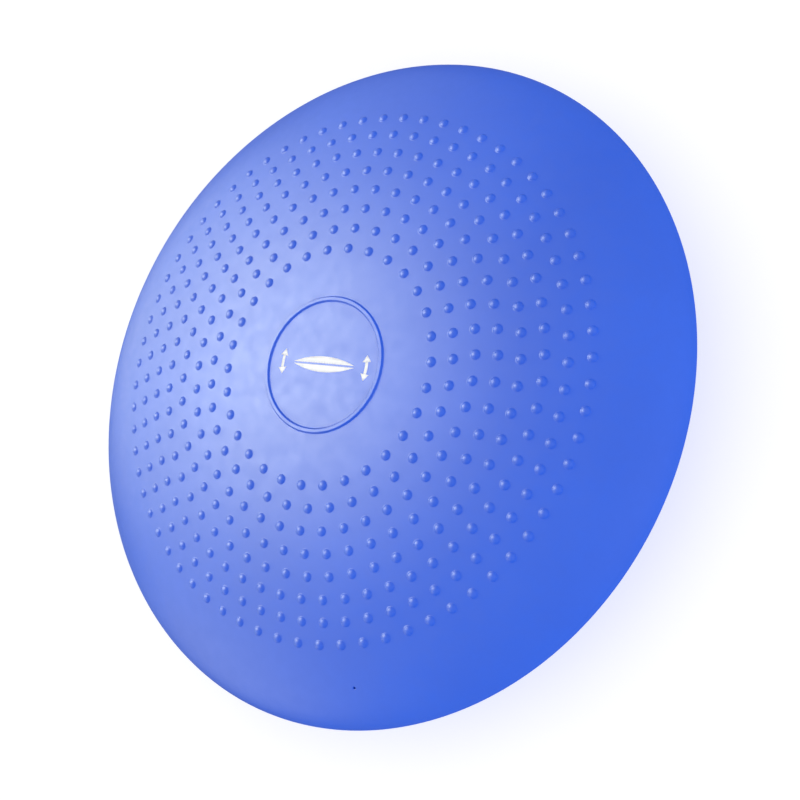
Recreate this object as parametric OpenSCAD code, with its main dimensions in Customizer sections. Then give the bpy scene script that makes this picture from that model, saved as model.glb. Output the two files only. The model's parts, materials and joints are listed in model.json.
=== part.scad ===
// Inflatable wobble cushion: a soft moulded disc with massage nubs on its upper face,
// filled with air through a flush needle valve in its rim band.
// The skin is one moulding. It is drawn in zones, so that the upper face can tilt on the air
// against the face that lies on the floor.
// Z is up, and the origin is the centre of the patch that rests on the floor.

/* [Cushion] */
// Diameter over the rim
cushion_d = 330; // [320:1:340]
// Bulge of a face above the rim line, where no floor flattens it
face_bulge = 42; // [40:0.5:44]
// Flatness of the faces: higher is flatter in the middle
face_flatness = 2.25; // [2.1:0.05:2.4]
// Roundness of the rim: higher is rounder
rim_roundness = 1.6; // [1.5:0.05:1.7]
// Thickness of the moulded skin
skin_t = 4; // [3:0.5:4.5]
// Radius of the patch that the floor presses flat
rest_r = 60; // [55:1:65]

/* [Zones of the skin] */
// Radius where each face ends and a flexing wall starts
face_r = 133; // [132.5:0.5:134]
// Radius where the upper flexing wall meets the rim band
band_top_r = 140; // [139.5:0.5:141]
// Radius where the lower flexing wall meets the rim band
band_foot_r = 148; // [146:0.5:149]

/* [Centre ring] */
// Radius of the raised ring in the middle of the upper face
ring_r = 31.5; // [29:0.5:37]
// Width of the raised ring
ring_w = 3; // [2.6:0.1:4]
// Height of the raised ring above the skin
ring_rise = 1; // [0.6:0.1:1.2]

/* [Massage nubs] */
// Number of rows of nubs
nub_rows = 8; // [1:1:8]
// Distance from nub to nub along a row
nub_pitch = 12; // [11:0.5:12]
// Radius of the first row
first_row_r = 56.7; // [50:0.1:57]
// Angle of the first nub of the first row
first_nub_angle = 5.8; // [0:0.2:359.8]
// Turn from the first nub of one row to the first nub of the next
row_turn = 32; // [0:1:359]
// Diameter of a nub at the skin
nub_d = 5; // [4.5:0.1:6]
// Height of a nub above the skin
nub_rise = 1.2; // [0.8:0.1:2.2]

/* [Valve] */
// Direction of the valve from the centre, from +X towards +Y
valve_angle = -76.5; // [-180:0.5:180]
// Radius of the needle hole's mouth
valve_r = 146.7; // [146.5:0.1:148]
// Diameter of the inflation needle's channel
needle_d = 2; // [1.6:0.1:2.4]
// Diameter of the rubber core
core_d = 7; // [6:0.5:7.5]
// Length of the rubber core
core_l = 12; // [10:0.5:13]
// Outer diameter of the seat that holds the core
seat_d = 12; // [11.5:0.5:12.5]

/* [Hidden] */
$fn = 96;

rim_r = cushion_d / 2;
slope_step = 0.01;
slope_turn = 0.5;
zone_turn = 4.5;

// Height of the skin above the rim line at radius r
function bulge(r) = face_bulge * pow(1 - pow(r / rim_r, face_flatness), 1 / rim_roundness);

// Slope of the skin at radius r, as an angle below the horizontal
function fall_angle(r) =
    atan((bulge(r - slope_step) - bulge(r + slope_step)) / (2 * slope_step));

// The skin's outline turns from t = 0 at the centre to t = 90 at the rim
function turn_at(r) = asin(pow(r / rim_r, face_flatness / 2));
function skin_point(t) =
    let (r = rim_r * pow(sin(t), 2 / face_flatness))
    [r, bulge(r)];
function skin_normal(t) =
    t <= 0 ? [0, 1] :
    t >= 90 ? [1, 0] :
    let (along = skin_point(t + slope_turn) - skin_point(t - slope_turn))
    [-along[1], along[0]] / norm(along);

rim_z = bulge(rest_r);

// Rows of nubs stand in a hexagonal spacing along the curved skin
row_pitch = nub_pitch * sin(60);
function row_r(row) =
    row == 0 ? first_row_r :
    let (r = row_r(row - 1))
    r + row_pitch * cos(fall_angle(r + row_pitch / 2));
function nubs_in_row(row) =
    round(2 * PI * (first_row_r + row * row_pitch) / nub_pitch);
nub_ball_r = (pow(nub_d / 2, 2) + pow(nub_rise, 2)) / (2 * nub_rise);

ring_ball_r = (pow(ring_w / 2, 2) + pow(ring_rise, 2)) / (2 * ring_rise);

// How deep the seat and the nubs' roots reach into the skin that they are bonded to
weld_depth = 0.3;
core_gap = 0.5;
collar_d = core_d + 2;
collar_h = 3;
seat_l = core_l + core_gap + weld_depth;

// The skin's section between two radii, cut square to the skin at both ends
module skin_zone(r_from, r_to) {
    t_from = turn_at(r_from);
    t_to = turn_at(r_to);
    steps = ceil((t_to - t_from) / zone_turn);
    turns = [for (i = [0 : steps]) t_from + (t_to - t_from) * i / steps];
    polygon(concat(
        [for (t = turns) skin_point(t)],
        [for (i = [steps : -1 : 0]) skin_point(turns[i]) - skin_t * skin_normal(turns[i])]
    ));
}

module revolve_above() {
    translate([0, 0, rim_z]) rotate_extrude() children();
}

module revolve_below() {
    translate([0, 0, rim_z]) rotate_extrude() mirror([0, 1]) children();
}

// Places its children at the mouth of the needle hole, with +Z along the outward normal
module at_valve() {
    translate([0, 0, rim_z])
        rotate(valve_angle)
        translate([valve_r, 0, bulge(valve_r)])
        rotate([0, fall_angle(valve_r), 0])
        children();
}

module centre_ring() {
    revolve_above()
        translate([ring_r, bulge(ring_r) + ring_rise - ring_ball_r])
        circle(r = ring_ball_r);
}

// One nub, standing on the plane z = 0 with its root below it
module nub() {
    rotate_extrude()
        intersection() {
            translate([0, nub_rise - nub_ball_r]) circle(r = nub_ball_r);
            translate([0, -weld_depth]) square(nub_d);
        }
}

module nub_row(row) {
    count = nubs_in_row(row);
    r = row_r(row);
    for (k = [0 : count - 1])
        rotate(first_nub_angle + row * row_turn + k * 360 / count)
            translate([r, 0, rim_z + bulge(r)])
            rotate([0, fall_angle(r), 0])
            nub($fn = 24);
}

module upper_face() {
    color("royalblue") {
        revolve_above() skin_zone(0, face_r);
        centre_ring();
    }
}

module massage_nubs() {
    color("royalblue")
        for (row = [0 : nub_rows - 1]) nub_row(row);
}

module upper_wall() {
    color("royalblue") revolve_above() skin_zone(face_r, band_top_r);
}

module rim_band() {
    color("royalblue")
        difference() {
            union() {
                revolve_above() skin_zone(band_top_r, rim_r);
                revolve_below() skin_zone(band_foot_r, rim_r);
            }
            at_valve()
                translate([0, 0, -2 * skin_t])
                cylinder(d = needle_d, h = 3 * skin_t);
        }
}

module lower_wall() {
    color("royalblue") revolve_below() skin_zone(face_r, band_foot_r);
}

module lower_face() {
    color("royalblue") {
        revolve_below() skin_zone(rest_r, face_r);
        cylinder(r = rest_r, h = skin_t);
    }
}

module valve_seat() {
    color("mediumblue")
        at_valve()
        translate([0, 0, weld_depth - skin_t - seat_l])
        difference() {
            cylinder(d = seat_d, h = seat_l);
            translate([0, 0, -1]) cylinder(d = core_d, h = seat_l + 2);
            translate([0, 0, (core_l - collar_h) / 2]) cylinder(d = collar_d, h = collar_h);
        }
}

module valve_core() {
    color("dimgray")
        at_valve()
        translate([0, 0, weld_depth - skin_t - seat_l])
        difference() {
            union() {
                cylinder(d = core_d, h = core_l);
                translate([0, 0, (core_l - collar_h) / 2]) cylinder(d = collar_d, h = collar_h);
            }
            translate([0, 0, -1]) cylinder(d = needle_d, h = core_l + 2);
        }
}

upper_face();
massage_nubs();
upper_wall();
rim_band();
lower_wall();
lower_face();
valve_seat();
valve_core();
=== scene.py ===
"""Looks of the wobble cushion: its moulded skin with the massage nubs, its printed mark, and the studio.

Lengths are in metres, in the CAD model's frame: Z is up and the origin is the centre of the patch that
rests on the floor. The skin has two halves that meet at the mould's parting line. The upper half flexes
between the rim and the top face, and the lower half flexes between the floor patch and the rim.
"""

import json
import math

import bpy
import numpy as np
from mathutils import Matrix, Vector
from mathutils.geometry import delaunay_2d_cdt


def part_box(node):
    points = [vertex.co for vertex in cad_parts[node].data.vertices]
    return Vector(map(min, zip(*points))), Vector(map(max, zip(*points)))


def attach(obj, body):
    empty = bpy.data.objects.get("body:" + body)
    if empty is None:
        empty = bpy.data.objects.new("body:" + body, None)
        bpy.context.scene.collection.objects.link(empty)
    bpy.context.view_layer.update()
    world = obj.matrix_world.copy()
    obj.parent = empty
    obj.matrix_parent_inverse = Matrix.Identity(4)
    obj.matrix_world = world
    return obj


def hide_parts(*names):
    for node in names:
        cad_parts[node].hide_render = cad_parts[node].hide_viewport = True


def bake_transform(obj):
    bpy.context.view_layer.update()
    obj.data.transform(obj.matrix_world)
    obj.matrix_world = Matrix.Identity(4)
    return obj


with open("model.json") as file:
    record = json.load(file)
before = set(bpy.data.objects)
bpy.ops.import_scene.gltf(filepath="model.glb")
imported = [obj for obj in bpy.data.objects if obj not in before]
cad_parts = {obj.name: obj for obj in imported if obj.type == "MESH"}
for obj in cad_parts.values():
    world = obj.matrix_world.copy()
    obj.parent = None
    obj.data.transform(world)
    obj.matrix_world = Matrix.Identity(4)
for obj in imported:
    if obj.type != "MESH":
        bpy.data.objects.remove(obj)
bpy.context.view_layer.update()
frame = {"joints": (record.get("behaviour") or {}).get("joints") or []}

MM = 0.001

# ---------------------------------------------------------------- sizes, the same as the CAD model's

RIM_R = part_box("rim_band")[1][0]
RIM_Z = frame["joints"][0]["pos_m"][2]
SKIN_T = 4 * MM
FACE_BULGE = 42 * MM
FACE_FLATNESS = 2.25
RIM_ROUNDNESS = 1.6
# The nubs lie inside this radius
NUB_FIELD_R = 131 * MM

RING_R = 31.5 * MM
RING_HALF_W = 1.5 * MM
RING_RISE = 1.0 * MM

NUB_ROWS = 8
NUB_PITCH = 12 * MM
FIRST_ROW_R = 56.7 * MM
FIRST_NUB_ANGLE = math.radians(5.8)
ROW_TURN = math.radians(32)
# A nub's cap is a little narrower than the CAD's, and the fillet at its foot makes up for it
NUB_R = 2.35 * MM
NUB_RISE = 1.2 * MM

VALVE_ANGLE = math.radians(-76.5)
VALVE_R = 146.7 * MM
NEEDLE_R = 1.0 * MM
CORE_R = 3.5 * MM
CORE_L = 12 * MM
COLLAR_R = 4.5 * MM
COLLAR_H = 3 * MM
SEAT_R = 6.0 * MM
SEAT_WELD = 0.3 * MM
CORE_GAP = 0.5 * MM

# ---------------------------------------------------------------- details that only the looks have

NUB_FILLET = 0.6 * MM
# Share of the centre ring's half width that is its flat top
RING_TOP_SHARE = 0.4
# The needle's channel narrows to a small mouth between these two depths
CHANNEL_WIDE_BELOW = 1.4 * MM
CHANNEL_NARROW_ABOVE = 0.8 * MM
MOUTH_R = 0.6 * MM
HOLE_EDGE = 0.35 * MM
PARTING_RISE = 0.25 * MM
PARTING_HALF_W = 0.7 * MM
PATCH_SOFTNESS = 0.8 * MM
INK_T = 0.06 * MM
# How far the blown-up rim is out of round, and where it is widest
OVAL_SHARE = 0.0126
OVAL_ANGLE = math.radians(54.2)

# The printed mark, in mm and degrees on the face
MARK_CENTRE = np.array([0.8, 0.0])
MARK_DISC_HALF_L = 17.0
MARK_DISC_HALF_H = 3.3
MARK_SLOT = 0.9
MARK_SWING_R = 23.5
MARK_SWING = 7
MARK_LINE_W = 1.5
MARK_HEAD_L = 3.2
MARK_HEAD_W = 4.4
MARK_STEP = 1.5

# How finely the skin is divided
OUTLINE_STEPS = 6000
NUB_SPOKES = 16
HUB_SEGMENTS = 24
CENTRE_SEGMENTS = 144
RIM_SEGMENTS = 288
HUB_R = 6 * MM
FIELD_IN_R = 50 * MM
FIELD_OUT_R = 156 * MM
FIELD_STEP = 3.4 * MM
INSIDE_STEP = 9 * MM
# Room that the loose points leave round a nub, the needle's mouth and its hole on the inside
NUB_CLEAR = 1.5 * MM
MOUTH_CLEAR = 2.4 * MM
HOLE_CLEAR = 3 * MM
# Radii in mm of the plain circles inside and outside the centre ring
CIRCLES_IN_RING = (2, 5, 9, 13.5, 18, 22.5, 26, 28.5)
CIRCLES_PAST_RING = (34.5, 38, 42, 46)
# Distances in mm of the wall's circles from the parting line, and of the inside's circles from its lip
WALL_GAPS = (14, 11.2, 8.6, 6.4, 4.6, 3.2, 2.2, 1.5, 1.05, 0.75, 0.5, 0.25, 0)
INSIDE_GAPS = (12, 8, 4.5, 2, 0)


# ---------------------------------------------------------------- the form of the skin


def bulge(r):
    """Height of the skin above the rim line at radius r."""
    share = np.clip(1 - (np.asarray(r) / RIM_R) ** FACE_FLATNESS, 0, 1)
    return FACE_BULGE * share ** (1 / RIM_ROUNDNESS)


def out_of_round(r, angle):
    """How much wider the blown-up skin is at radius r and an angle: the rim is very slightly oval."""
    fade = smooth((r - NUB_FIELD_R) / (RIM_R - NUB_FIELD_R))
    return 1 + OVAL_SHARE * fade * np.cos(2 * (angle - OVAL_ANGLE))


def soft_min(a, b, softness):
    """The lower of a and b, with the corner between them rounded off."""
    overlap = np.clip(softness - np.abs(a - b), 0, None)
    return np.minimum(a, b) - overlap**2 / (4 * softness)


def smooth(x):
    """A soft step from 0 to 1."""
    x = np.clip(x, 0, 1)
    return x * x * (3 - 2 * x)


class Outline:
    """The section of one half, from its middle out to the rim, by arc length s along the skin."""

    def __init__(self, flat_z=None):
        turn = np.linspace(0, math.pi / 2, OUTLINE_STEPS)
        self.r = RIM_R * np.sin(turn) ** (2 / FACE_FLATNESS)
        self.z = bulge(self.r)
        if flat_z is not None:
            self.z = soft_min(self.z, flat_z, PATCH_SOFTNESS)
        step = np.hypot(np.diff(self.r), np.diff(self.z))
        self.s = np.concatenate([[0], np.cumsum(step)])
        self.rim_s = self.s[-1]
        out = -np.gradient(self.z, self.s)
        up = np.gradient(self.r, self.s)
        size = np.hypot(out, up)
        self.out = out / size
        self.up = up / size

    def s_at(self, r):
        return float(np.interp(r, self.r, self.s))

    def at(self, s):
        """Radius, height above the rim line, and the normal's outward and upward parts."""
        return [np.interp(s, self.s, row) for row in (self.r, self.z, self.out, self.up)]

    def lip_s(self):
        """Where the inside of the skin reaches the rim plane."""
        inside_z = self.z - SKIN_T * self.up
        return self.s[np.argmax(inside_z < 0)]


# ---------------------------------------------------------------- mesh building


class Skin:
    """Points on one half of the skin and the faces between them.

    A point lies at arc length s and angle a of the plain outline, and stands rise above it. Its slope_s
    and slope_t say how steeply the rise grows along the outline and round it.
    """

    def __init__(self, outline):
        self.outline = outline
        self.rows = []
        self.count = 0
        self.faces = []

    def add(self, s, angle, rise=0.0, slope_s=0.0, slope_t=0.0):
        row = np.stack(np.broadcast_arrays(*map(np.atleast_1d, (s, angle, rise, slope_s, slope_t))), 1)
        self.rows.append(row.astype(float))
        first = self.count
        self.count += len(row)
        return np.arange(first, self.count)

    def circle(self, s, segments, rise=0.0, slope_s=0.0):
        return self.add(s, np.arange(segments) * 2 * math.pi / segments, rise, slope_s)

    def rings_about(self, s, angle, rings, spokes):
        """Rings of points about one place. Each ring has a radius, a rise and a slope outwards."""
        phi = np.arange(spokes) * 2 * math.pi / spokes
        made = []
        for radius, rise, slope in rings:
            ring_s = s + radius * np.cos(phi)
            ring_r = self.outline.at(ring_s)[0]
            ring_angle = angle + radius * np.sin(phi) / ring_r
            made.append(self.add(ring_s, ring_angle, rise, slope * np.cos(phi), slope * np.sin(phi)))
        return made

    def mesh(self, name, side):
        """The Blender object. side is 1 for the upper half and -1 for the lower half."""
        s, angle, rise, slope_s, slope_t = np.concatenate(self.rows).T[:, :, None]
        r, z, out, up = self.outline.at(s)
        radial = np.concatenate([np.cos(angle), np.sin(angle), np.zeros_like(angle)], 1)
        around = np.concatenate([-np.sin(angle), np.cos(angle), np.zeros_like(angle)], 1)
        axis = np.array([0, 0, 1.0])
        normal = radial * out + axis * up
        along = radial * up - axis * out
        place = radial * r * out_of_round(r, angle) + axis * z + normal * rise
        shading = normal - along * slope_s - around * slope_t
        shading /= np.linalg.norm(shading, axis=1)[:, None]
        flip = np.array([1, 1, side])
        place = place * flip + axis * RIM_Z
        faces = self.faces if side > 0 else flipped(self.faces)
        made = new_object(name, place, faces, shading * flip)
        relief = made.data.attributes.new("relief", "FLOAT", "POINT")
        relief.data.foreach_set("value", np.clip(rise[:, 0] / NUB_RISE, 0, 1))
        return made


def flipped(faces):
    return [face[::-1] for face in faces]


def band(inner, outer):
    """Quads between two closed rings that have the same number of points."""
    return list(zip(inner, outer, np.roll(outer, -1), np.roll(inner, -1)))


def fan(middle, ring):
    return list(zip([middle] * len(ring), ring, np.roll(ring, -1)))


def lofted(rings):
    faces = []
    for inner, outer in zip(rings, rings[1:]):
        faces += band(inner, outer)
    return faces


def unrolled(skin, index):
    """Points of the skin laid out in a plane, at their arc length from the middle."""
    row = np.concatenate(skin.rows)[index]
    return np.stack([row[:, 0] * np.cos(row[:, 1]), row[:, 0] * np.sin(row[:, 1])], 1)


def triangles_between(skin, outer, holes, loose):
    """Triangles inside the outer ring and outside the holes' rings, over the loose points."""
    rings = [outer] + holes
    index = np.concatenate(rings + [loose]).astype(int)
    flat = unrolled(skin, index)
    edges = []
    ring_of = np.full(len(index), -1)
    first = 0
    for number, ring in enumerate(rings):
        local = np.arange(first, first + len(ring))
        edges += list(zip(local.tolist(), np.roll(local, -1).tolist()))
        ring_of[local] = number
        first += len(ring)
    corners = [Vector(p) for p in flat.tolist()]
    found = delaunay_2d_cdt(corners, edges, [], 0, 1e-9)
    original = np.array([source[0] for source in found[3]])
    face = original[np.array(found[2])]
    owner = ring_of[face]
    in_hole = (owner[:, 0] > 0) & (owner[:, 0] == owner[:, 1]) & (owner[:, 1] == owner[:, 2])
    face = face[~in_hole]
    a, b, c = flat[face[:, 0]], flat[face[:, 1]], flat[face[:, 2]]
    turn = (b[:, 0] - a[:, 0]) * (c[:, 1] - a[:, 1]) - (b[:, 1] - a[:, 1]) * (c[:, 0] - a[:, 0])
    face[turn < 0] = face[turn < 0][:, ::-1]
    return [tuple(row) for row in index[face]]


def open_ground(skin, s_in, s_out, step, keep_clear, rise=0.0):
    """Loose points spread evenly between two arc lengths.

    keep_clear holds rows of s, angle and the distance to keep from that place.
    """
    clear = np.array(keep_clear).reshape(-1, 3)
    clear_x = clear[:, 0] * np.cos(clear[:, 1])
    clear_y = clear[:, 0] * np.sin(clear[:, 1])
    made = []
    rings = round((s_out - s_in) / step)
    for k in range(1, rings):
        s = s_in + (s_out - s_in) * k / rings
        count = round(2 * math.pi * float(skin.outline.at(s)[0]) / step)
        angle = (np.arange(count) + 0.5 * (k % 2)) * 2 * math.pi / count
        gap_x = s * np.cos(angle)[:, None] - clear_x
        gap_y = s * np.sin(angle)[:, None] - clear_y
        free = np.all(np.hypot(gap_x, gap_y) > clear[:, 2], axis=1)
        made.append(skin.add(s, angle[free], rise))
    return np.concatenate(made)


def new_object(name, places, faces, normals=None):
    mesh = bpy.data.meshes.new(name)
    mesh.from_pydata(np.asarray(places).tolist(), [], [tuple(map(int, face)) for face in faces])
    mesh.polygons.foreach_set("use_smooth", [True] * len(mesh.polygons))
    if normals is not None:
        mesh.normals_split_custom_set_from_vertices(np.asarray(normals).tolist())
    mesh.update()
    made = bpy.data.objects.new(name, mesh)
    bpy.context.scene.collection.objects.link(made)
    return made


# ---------------------------------------------------------------- features of the skin


def nub_rings():
    """A nub's rings as radius, rise and slope: a ball's cap that a fillet joins to the skin."""
    ball_r = (NUB_R**2 + NUB_RISE**2) / (2 * NUB_RISE)
    sunk = ball_r - NUB_RISE
    foot_r = math.sqrt((ball_r + NUB_FILLET) ** 2 - (sunk + NUB_FILLET) ** 2)
    join = math.atan2(foot_r, sunk + NUB_FILLET)
    rings = []
    for share in (0.22, 0.45, 0.68, 0.86, 1.0):
        turn = share * join
        rings.append((ball_r * math.sin(turn), ball_r * math.cos(turn) - sunk, -math.tan(turn)))
    for share in (0.62, 0.3, 0.0):
        turn = share * join
        radius = foot_r - NUB_FILLET * math.sin(turn)
        rings.append((radius, NUB_FILLET * (1 - math.cos(turn)), -math.tan(turn)))
    return rings


def nub_places(outline):
    """Middles of all nubs as (s, angle): rows in a hexagonal spacing along the skin."""
    row_pitch = NUB_PITCH * math.sin(math.radians(60))
    made = []
    for row in range(NUB_ROWS):
        s = outline.s_at(FIRST_ROW_R) + row * row_pitch
        count = round(2 * math.pi * (FIRST_ROW_R + row * row_pitch) / NUB_PITCH)
        first = FIRST_NUB_ANGLE + row * ROW_TURN
        made += [(s, first + k * 2 * math.pi / count) for k in range(count)]
    return made


def add_nub(skin, s, angle, rings):
    """Adds a nub and returns the ring at its foot."""
    made = skin.rings_about(s, angle, rings, NUB_SPOKES)
    top = skin.add(s, angle, NUB_RISE)[0]
    skin.faces += fan(top, made[0]) + lofted(made)
    return made[-1]


def add_needle_hole(skin, s, angle):
    """Adds the needle's channel through the skin. Returns its outside ring and its inside ring."""
    steep = 40
    rings = [
        (NEEDLE_R, -SKIN_T, steep),
        (NEEDLE_R, -CHANNEL_WIDE_BELOW, steep),
        (MOUTH_R, -CHANNEL_NARROW_ABOVE, steep),
        (MOUTH_R, -HOLE_EDGE, steep),
        (MOUTH_R + 0.3 * HOLE_EDGE, -0.3 * HOLE_EDGE, 1.0),
        (MOUTH_R + HOLE_EDGE, 0, 0),
    ]
    made = skin.rings_about(s, angle, rings, NUB_SPOKES)
    skin.faces += lofted(made)
    return made[-1], made[0]


def ring_ridge(distance):
    """Rise and slope of the centre ring at a distance from its middle line."""
    top = RING_HALF_W * RING_TOP_SHARE
    side = RING_HALF_W - top
    x = float(np.clip((RING_HALF_W - abs(distance)) / side, 0, 1))
    slope = -math.copysign(RING_RISE * 6 * x * (1 - x) / side, distance)
    return RING_RISE * float(smooth(x)), slope


def add_middle(skin):
    """Adds the smooth middle with its raised ring, and returns its outermost circle."""
    outline = skin.outline
    ring_s = outline.s_at(RING_R)
    top = RING_HALF_W * RING_TOP_SHARE
    side = RING_HALF_W - top
    half = [0, 0.5 * top] + [top + side * x for x in (0, 0.14, 0.28, 0.42, 0.58, 0.72, 0.86, 1)]
    across = sorted({-a for a in half} | set(half))
    made = [(outline.s_at(r * MM), 0.0, 0.0) for r in CIRCLES_IN_RING]
    made += [(ring_s + a, *ring_ridge(a)) for a in across]
    made += [(outline.s_at(r * MM), 0.0, 0.0) for r in CIRCLES_PAST_RING]
    made.append((outline.s_at(FIELD_IN_R), 0.0, 0.0))
    circles = [skin.circle(s, CENTRE_SEGMENTS, rise, slope) for s, rise, slope in made]
    middle = skin.add(0, 0)[0]
    skin.faces += fan(middle, circles[0]) + lofted(circles)
    return circles[-1]


def add_wall(skin, edge_s):
    """Adds the plain wall out to the parting line. Returns its innermost and outermost circles."""
    rim_s = skin.outline.rim_s
    made = [skin.circle(edge_s, RIM_SEGMENTS)]
    for gap in WALL_GAPS:
        d = gap * MM
        rise = PARTING_RISE * math.exp(-((d / PARTING_HALF_W) ** 2))
        slope = rise * 2 * d / PARTING_HALF_W**2
        made.append(skin.circle(rim_s - d, RIM_SEGMENTS, rise, slope))
    skin.faces += lofted(made)
    return made[0], made[-1]


def add_inside(skin, hole_rings, hole_places):
    """Adds the inner side of the skin, and returns its circle at the lip."""
    outline = skin.outline
    lip_s = outline.lip_s()
    middle = skin.add(0, 0, -SKIN_T)[0]
    hub_s = outline.s_at(HUB_R)
    hub = skin.circle(hub_s, HUB_SEGMENTS, -SKIN_T)
    walls = [skin.circle(lip_s - gap * MM, RIM_SEGMENTS, -SKIN_T) for gap in INSIDE_GAPS]
    clear = [(s, angle, HOLE_CLEAR) for s, angle in hole_places] + [(0, 0, HUB_R)]
    loose = open_ground(skin, hub_s, lip_s - INSIDE_GAPS[0] * MM, INSIDE_STEP, clear, -SKIN_T)
    faces = fan(middle, hub)
    faces += triangles_between(skin, walls[0], [hub] + hole_rings, loose)
    faces += lofted(walls)
    skin.faces += flipped(faces)
    return walls[-1]


def make_upper_skin():
    outline = Outline()
    skin = Skin(outline)
    middle_edge = add_middle(skin)
    rings = nub_rings()
    nubs = nub_places(outline)
    feet = [add_nub(skin, s, angle, rings) for s, angle in nubs]
    valve_s = outline.s_at(VALVE_R)
    hole_mouth, hole_inside = add_needle_hole(skin, valve_s, VALVE_ANGLE)
    wall_in, rim = add_wall(skin, outline.s_at(FIELD_OUT_R))
    clear = [(s, angle, rings[-1][0] + NUB_CLEAR) for s, angle in nubs]
    clear.append((valve_s, VALVE_ANGLE, MOUTH_CLEAR))
    field_in_s = outline.s_at(FIELD_IN_R)
    loose = open_ground(skin, field_in_s, outline.s_at(FIELD_OUT_R), FIELD_STEP, clear)
    skin.faces += triangles_between(skin, wall_in, [middle_edge, *feet, hole_mouth], loose)
    lip = add_inside(skin, [hole_inside], [(valve_s, VALVE_ANGLE)])
    skin.faces += band(rim, lip)
    return skin.mesh("upper_skin", 1)


def make_lower_skin():
    outline = Outline(flat_z=RIM_Z)
    skin = Skin(outline)
    middle = skin.add(0, 0)[0]
    hub_s = outline.s_at(HUB_R)
    hub = skin.circle(hub_s, HUB_SEGMENTS)
    skin.faces += fan(middle, hub)
    wall_in, rim = add_wall(skin, outline.s_at(FIELD_OUT_R))
    loose = open_ground(skin, hub_s, outline.s_at(FIELD_OUT_R), FIELD_STEP, [(0, 0, HUB_R)])
    skin.faces += triangles_between(skin, wall_in, [hub], loose)
    lip = add_inside(skin, [], [])
    skin.faces += band(rim, lip)
    return skin.mesh("lower_skin", -1)


# ---------------------------------------------------------------- the valve inside the skin


def valve_frame():
    """Places a shape that stands on z = 0 under the skin's outside at the valve, along its normal."""
    outline = Outline()
    r, z, out, up = outline.at(outline.s_at(VALVE_R))
    r = r * out_of_round(r, VALVE_ANGLE)
    mouth = Vector((r * math.cos(VALVE_ANGLE), r * math.sin(VALVE_ANGLE), RIM_Z + z))
    normal = Vector((out * math.cos(VALVE_ANGLE), out * math.sin(VALVE_ANGLE), up))
    return Matrix.Translation(mouth) @ normal.to_track_quat("Z", "Y").to_matrix().to_4x4()


def turned(name, section, place, segments=48):
    """A closed solid of revolution from a closed section of (radius, height) points."""
    angle = np.arange(segments) * 2 * math.pi / segments
    points = []
    rings = []
    for radius, height in section:
        rings.append(np.arange(len(points), len(points) + segments))
        points += [place @ Vector((radius * math.cos(a), radius * math.sin(a), height)) for a in angle]
    faces = flipped(lofted(rings + [rings[0]]))
    made = new_object(name, points, faces)
    made.data.polygons.foreach_set("use_smooth", [False] * len(faces))
    return made


def make_valve():
    place = valve_frame()
    top = -SKIN_T + SEAT_WELD
    core_top = top - CORE_GAP - SEAT_WELD
    core_foot = core_top - CORE_L
    middle = (core_top + core_foot) / 2
    low, high = middle - COLLAR_H / 2, middle + COLLAR_H / 2
    seat = [
        (SEAT_R, core_foot),
        (SEAT_R, top),
        (CORE_R, top),
        (CORE_R, high),
        (COLLAR_R, high),
        (COLLAR_R, low),
        (CORE_R, low),
        (CORE_R, core_foot),
    ]
    core = [
        (NEEDLE_R, core_foot),
        (CORE_R, core_foot),
        (CORE_R, low),
        (COLLAR_R, low),
        (COLLAR_R, high),
        (CORE_R, high),
        (CORE_R, core_top),
        (NEEDLE_R, core_top),
    ]
    return turned("valve_seat_moulding", seat, place), turned("valve_core_plug", core, place)


# ---------------------------------------------------------------- the printed mark


def stroke(points, width):
    """A line of the mark as an outline of its own: left side out, right side back."""
    line = np.array(points)
    along = np.gradient(line, axis=0)
    along /= np.linalg.norm(along, axis=1)[:, None]
    side = np.stack([-along[:, 1], along[:, 0]], 1) * width / 2
    return np.concatenate([line - side, (line + side)[::-1]])


def arc(radius, first, last, steps, centre=(0, 0)):
    """Points of an arc about a centre, between two angles in degrees."""
    angle = np.radians(np.linspace(first, last, steps))
    return np.stack([centre[0] + radius * np.cos(angle), centre[1] + radius * np.sin(angle)], 1)


def closely_set(corners):
    """The outline through the corners with points at least every MARK_STEP."""
    made = []
    for a, b in zip(corners, np.roll(corners, -1, axis=0)):
        steps = max(1, math.ceil(np.linalg.norm(b - a) / MARK_STEP))
        made += [a + (b - a) * k / steps for k in range(steps)]
    return np.array(made)


def mark_shapes():
    """Outlines of a plain rocking sign: a disc seen from the side between two curved arrows."""
    bow_r = (MARK_DISC_HALF_L**2 + MARK_DISC_HALF_H**2) / (2 * MARK_DISC_HALF_H)
    half_turn = math.degrees(math.asin(MARK_DISC_HALF_L / bow_r))
    dome = arc(bow_r, 90 - half_turn, 90 + half_turn, 25, (0, MARK_DISC_HALF_H - bow_r))
    lift = np.array([0, MARK_SLOT / 2])
    shapes = [dome + lift, dome * np.array([1, -1]) - lift]
    for side in (0, 180):
        shapes.append(stroke(arc(MARK_SWING_R, side - MARK_SWING, side + MARK_SWING, 9), MARK_LINE_W))
        for way in (-1, 1):
            turn = math.radians(side + way * MARK_SWING)
            out = np.array([math.cos(turn), math.sin(turn)])
            ahead = way * np.array([-math.sin(turn), math.cos(turn)])
            foot = MARK_SWING_R * out
            half_head = out * MARK_HEAD_W / 2
            shapes.append(np.array([foot - half_head, foot + half_head, foot + ahead * MARK_HEAD_L]))
    return [closely_set(shape) for shape in shapes]


def turn_of(a, b, c):
    """Twice the area of a flat triangle; it is positive where a, b, c run anticlockwise."""
    return (b[0] - a[0]) * (c[1] - a[1]) - (b[1] - a[1]) * (c[0] - a[0])


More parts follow.
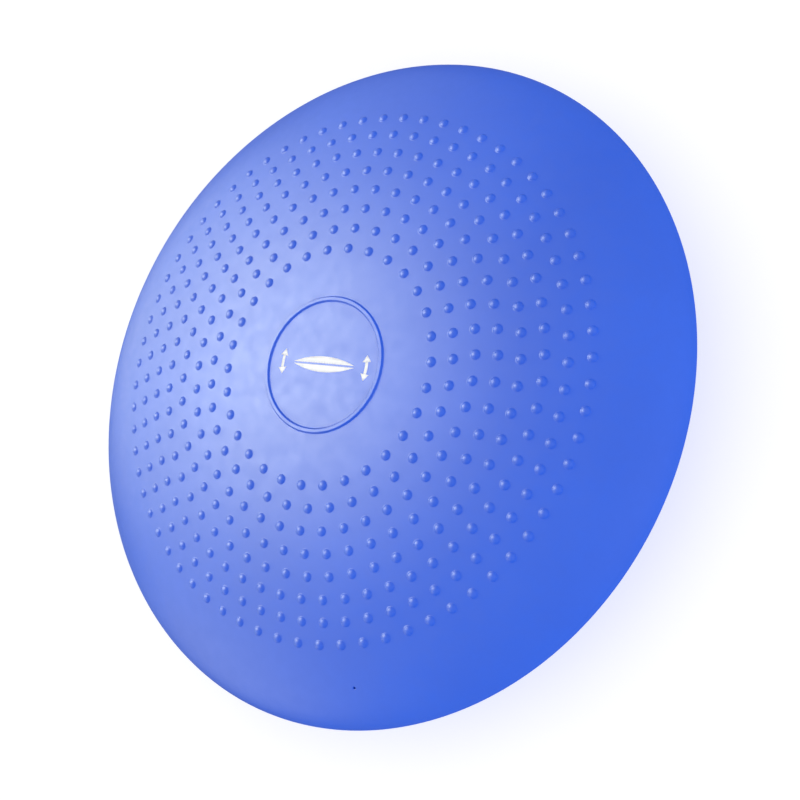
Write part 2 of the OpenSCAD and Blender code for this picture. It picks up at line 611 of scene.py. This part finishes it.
def filled(shape):
    """Triangles that fill a flat outline: their points, the faces, and each outline point's number."""
    edge = [(k, (k + 1) % len(shape)) for k in range(len(shape))]
    low, high = shape.min(0), shape.max(0)
    across = np.arange(low[0], high[0], MARK_STEP)
    upwards = np.arange(low[1], high[1], MARK_STEP)
    grid = [(float(x), float(y)) for x in across for y in upwards]
    points = [Vector(p) for p in shape.tolist() + grid]
    found = delaunay_2d_cdt(points, edge, [tuple(range(len(shape)))], 1, 1e-7)
    flat = np.array([tuple(p) for p in found[0]])
    faces = [(a, b, c) if turn_of(flat[a], flat[b], flat[c]) > 0 else (a, c, b) for a, b, c in found[2]]
    number = {source: k for k, sources in enumerate(found[3]) for source in sources}
    return flat, faces, [number[k] for k in range(len(shape))]


def make_mark():
    """The mark as thin ink on the skin. Each shape is filled by triangles and has a small thickness."""
    points = []
    faces = []
    for shape in mark_shapes():
        flat, triangles, edge = filled(shape)
        flat = flat + MARK_CENTRE
        top = len(points)
        foot = top + len(flat)
        for lift in (INK_T, -INK_T):
            z = RIM_Z + bulge(np.hypot(flat[:, 0], flat[:, 1]) * MM) + lift
            points += np.column_stack([flat * MM, z]).tolist()
        faces += [(top + a, top + b, top + c) for a, b, c in triangles]
        faces += [(foot + c, foot + b, foot + a) for a, b, c in triangles]
        walls = list(zip(edge, edge[1:] + edge[:1]))
        area = sum(turn_of((0, 0), flat[a], flat[b]) for a, b in walls)
        for a, b in walls if area > 0 else [(b, a) for a, b in walls]:
            faces.append((foot + a, foot + b, top + b, top + a))
    return new_object("printed_mark", points, faces)


# ---------------------------------------------------------------- materials


def add_node(tree, kind, inputs=None, **settings):
    """Adds a shader node. inputs maps a socket to a value or to the output that feeds it."""
    made = tree.nodes.new(kind)
    for name, value in settings.items():
        setattr(made, name, value)
    for name, value in (inputs or {}).items():
        if isinstance(value, bpy.types.NodeSocket):
            tree.links.new(value, made.inputs[name])
        else:
            made.inputs[name].default_value = value
    return made


def noise(tree, where, scale, detail=2.0, roughness=0.5):
    settings = {"Vector": where, "Scale": scale, "Detail": detail, "Roughness": roughness}
    return add_node(tree, "ShaderNodeTexNoise", settings).outputs["Fac"]


def spread(tree, value, low, high, from_low=0.3, from_high=0.7):
    """Maps a value from one range to another."""
    settings = {"Value": value, "From Min": from_low, "From Max": from_high, "To Min": low, "To Max": high}
    return add_node(tree, "ShaderNodeMapRange", settings).outputs["Result"]


def mixed(tree, share, a, b):
    made = add_node(tree, "ShaderNodeMix", {"Factor": share}, data_type="RGBA")
    for socket, value in ((6, a), (7, b)):
        if isinstance(value, bpy.types.NodeSocket):
            tree.links.new(value, made.inputs[socket])
        else:
            made.inputs[socket].default_value = (*value, 1)
    return made.outputs[2]


def bumped(tree, height, distance, under=None):
    settings = {"Height": height, "Distance": distance, "Strength": 1.0}
    if under is not None:
        settings["Normal"] = under
    return add_node(tree, "ShaderNodeBump", settings).outputs["Normal"]


def new_material(name):
    """An empty material with a Principled shader. Returns it, its tree and the shader."""
    material = bpy.data.materials.new(name)
    material.use_nodes = True
    tree = material.node_tree
    return material, tree, tree.nodes["Principled BSDF"]


def soft_pvc(name, deep, bright, roughness):
    """Satin soft PVC: a fine moulded grain, slow waves in the skin, slightly uneven colour and gloss."""
    material, tree, shader = new_material(name)
    where = add_node(tree, "ShaderNodeTexCoord").outputs["Object"]
    cloud = noise(tree, where, 14, 3)
    mottle = noise(tree, where, 170, 3)
    grain = noise(tree, where, 1900, 2)
    speck = noise(tree, where, 620, 1)
    base = mixed(tree, spread(tree, cloud, 0, 1), deep, bright)
    fine = mixed(tree, spread(tree, mottle, 0, 0.10), base, tuple(0.8 * c for c in deep))
    relief = add_node(tree, "ShaderNodeAttribute", attribute_name="relief").outputs["Fac"]
    # The base colour is made slightly lighter towards the top of each nub, by the nub's height alone.
    nub_top_colour = tuple(min(1, c + 0.06) for c in bright)
    lighter_nub_tops = mixed(tree, spread(tree, relief, 0, 0.08, 0.6, 1.0), fine, nub_top_colour)
    tree.links.new(lighter_nub_tops, shader.inputs["Base Color"])
    uneven = spread(tree, mottle, roughness - 0.03, roughness + 0.03)
    tree.links.new(uneven, shader.inputs["Roughness"])
    waves = bumped(tree, noise(tree, where, 26, 2), 0.12 * MM)
    dents = bumped(tree, speck, 0.012 * MM, waves)
    tree.links.new(bumped(tree, grain, 0.006 * MM, dents), shader.inputs["Normal"])
    shader.inputs["IOR"].default_value = 1.65
    return material


def white_ink():
    """Screen-printed ink: opaque white that the skin's grain shows through."""
    material, tree, shader = new_material("white_ink")
    where = add_node(tree, "ShaderNodeTexCoord").outputs["Object"]
    patchy = noise(tree, where, 420, 3)
    colour = mixed(tree, spread(tree, patchy, 0, 1, 0.35, 0.65), (0.86, 0.88, 0.93), (0.95, 0.96, 0.97))
    tree.links.new(colour, shader.inputs["Base Color"])
    tree.links.new(spread(tree, patchy, 0.42, 0.55), shader.inputs["Roughness"])
    grain = noise(tree, where, 1900, 2)
    tree.links.new(bumped(tree, grain, 0.006 * MM), shader.inputs["Normal"])
    shader.inputs["Specular IOR Level"].default_value = 0.2
    return material


def core_rubber():
    """Dull dark rubber of the self-sealing plug."""
    material, tree, shader = new_material("core_rubber")
    where = add_node(tree, "ShaderNodeTexCoord").outputs["Object"]
    grain = noise(tree, where, 1400, 3)
    colour = mixed(tree, spread(tree, grain, 0, 1), (0.012, 0.013, 0.016), (0.03, 0.032, 0.036))
    tree.links.new(colour, shader.inputs["Base Color"])
    tree.links.new(spread(tree, grain, 0.62, 0.8), shader.inputs["Roughness"])
    tree.links.new(bumped(tree, grain, 0.02 * MM), shader.inputs["Normal"])
    return material


def floor_paint():
    """Pale matt floor, very slightly uneven. It glows a little, so that it stays as pale as the studio."""
    material, tree, shader = new_material("pale_floor")
    where = add_node(tree, "ShaderNodeTexCoord").outputs["Object"]
    cloud = noise(tree, where, 3, 3)
    colour = mixed(tree, spread(tree, cloud, 0, 1), (0.52, 0.52, 0.52), (0.54, 0.54, 0.54))
    tree.links.new(colour, shader.inputs["Base Color"])
    tree.links.new(colour, shader.inputs["Emission Color"])
    shader.inputs["Emission Strength"].default_value = 1.05
    shader.inputs["Roughness"].default_value = 0.9
    shader.inputs["Specular IOR Level"].default_value = 0.1
    return material


def put_on(piece, material):
    piece.data.materials.clear()
    piece.data.materials.append(material)


# ---------------------------------------------------------------- the studio


CENTRE = Vector((0, 0, RIM_Z))
GLOSS_COLOUR = (1.0, 1.0, 0.6)
WORLD_MATT = 0.94
WORLD_GLOSS = 0.12
FLOOR_HALF = 12.0
FLOOR_DROP = 0.2 * MM

CAMERA_LENS = 61.59
CAMERA_AIM = Vector((13.37, -4.84, -9.20)) * MM
CAMERA_AZIMUTH = -14.29
CAMERA_ELEVATION = 56.98
CAMERA_ROLL = math.radians(67.28)
CAMERA_DISTANCE = 670.5 * MM


def direction(azimuth, elevation):
    """Unit vector; azimuth in degrees from +X towards +Y, elevation in degrees above the floor."""
    a, e = math.radians(azimuth), math.radians(elevation)
    return Vector((math.cos(a) * math.cos(e), math.sin(a) * math.cos(e), math.sin(e)))


def softbox(name, azimuth, elevation, distance, size, watts, seen_by="gloss"):
    """A round area light that faces the cushion, seen by its matt shading or in its gloss only.

    The ones in the gloss are warm, so that the sheen on the blue skin stays pale blue.
    """
    data = bpy.data.lights.new(name, "AREA")
    data.shape = "DISK"
    data.size = size
    data.energy = watts
    if seen_by == "gloss":
        data.color = GLOSS_COLOUR
    light = bpy.data.objects.new(name, data)
    away = direction(azimuth, elevation)
    light.location = CENTRE + away * distance
    light.rotation_mode = "QUATERNION"
    light.rotation_quaternion = away.to_track_quat("Z", "Y")
    light.visible_diffuse = seen_by == "diffuse"
    light.visible_glossy = seen_by == "gloss"
    light.visible_camera = False
    bpy.context.scene.collection.objects.link(light)


def make_world():
    """Even white light for the matt shading, and a dim one in reflections."""
    world = bpy.data.worlds.new("studio")
    world.use_nodes = True
    tree = world.node_tree
    background = tree.nodes["Background"]
    glossy = add_node(tree, "ShaderNodeLightPath").outputs["Is Glossy Ray"]
    strength = spread(tree, glossy, WORLD_MATT, WORLD_GLOSS, 0, 1)
    tree.links.new(strength, background.inputs["Strength"])
    background.inputs["Color"].default_value = (1, 1, 1, 1)
    bpy.context.scene.world = world


def make_floor():
    half = FLOOR_HALF
    corners = [(-half, -half, 0), (half, -half, 0), (half, half, 0), (-half, half, 0)]
    floor = new_object("floor", corners, [(0, 1, 2, 3)])
    floor.location.z = -FLOOR_DROP
    floor.visible_glossy = False
    put_on(floor, floor_paint())


def make_camera():
    """The camera looks down at the top face from the +X side, and is rolled about its own axis."""
    data = bpy.data.cameras.new("camera")
    data.sensor_width = 36
    data.lens = CAMERA_LENS
    camera = bpy.data.objects.new("camera", data)
    aim = CENTRE + CAMERA_AIM
    back = direction(CAMERA_AZIMUTH, CAMERA_ELEVATION)
    level_right = Vector((0, 0, 1)).cross(back).normalized()
    level_up = back.cross(level_right)
    up = math.cos(CAMERA_ROLL) * level_up + math.sin(CAMERA_ROLL) * level_right
    right = up.cross(back)
    camera.location = aim + back * CAMERA_DISTANCE
    camera.rotation_mode = "QUATERNION"
    camera.rotation_quaternion = Matrix((right, up, back)).transposed().to_quaternion()
    bpy.context.scene.collection.objects.link(camera)
    bpy.context.scene.camera = camera


# ---------------------------------------------------------------- the scene


BLUE_DEEP = (0.003, 0.098, 0.76)
BLUE_BRIGHT = (0.004, 0.110, 0.82)
SEAT_DEEP = (0.006, 0.05, 0.45)
SEAT_BRIGHT = (0.01, 0.07, 0.55)
PVC_ROUGHNESS = 0.5

pvc = soft_pvc("soft_pvc_blue", BLUE_DEEP, BLUE_BRIGHT, PVC_ROUGHNESS)
seat_pvc = soft_pvc("valve_pvc_blue", SEAT_DEEP, SEAT_BRIGHT, PVC_ROUGHNESS)
rubber = core_rubber()

upper_skin = make_upper_skin()
put_on(upper_skin, pvc)
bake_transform(upper_skin)
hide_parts("upper_face", "massage_nubs", "upper_wall", "rim_band")

lower_skin = make_lower_skin()
put_on(lower_skin, pvc)
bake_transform(lower_skin)
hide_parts("lower_face", "lower_wall")

valve_seat, valve_core = make_valve()
put_on(valve_seat, seat_pvc)
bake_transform(valve_seat)
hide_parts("valve_seat")
put_on(valve_core, rubber)
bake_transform(valve_core)
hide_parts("valve_core")

mark = make_mark()
put_on(mark, white_ink())
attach(mark, "top")

make_world()
make_floor()
softbox("key_gloss", azimuth=168, elevation=50, distance=1.6, size=0.9, watts=30)
softbox("low_gloss", azimuth=170, elevation=22, distance=1.8, size=1.9, watts=33)
softbox("left_gloss", azimuth=226, elevation=12, distance=1.8, size=1.4, watts=11)
softbox("right_gloss", azimuth=126, elevation=14, distance=1.8, size=1.4, watts=4)
softbox("edge_gloss", azimuth=32, elevation=18, distance=1.8, size=1.2, watts=1.2)
softbox("fill_matt", azimuth=-14, elevation=25, distance=1.8, size=1.4, watts=5, seen_by="diffuse")
make_camera()
bpy.context.scene.view_settings.view_transform = "Standard"
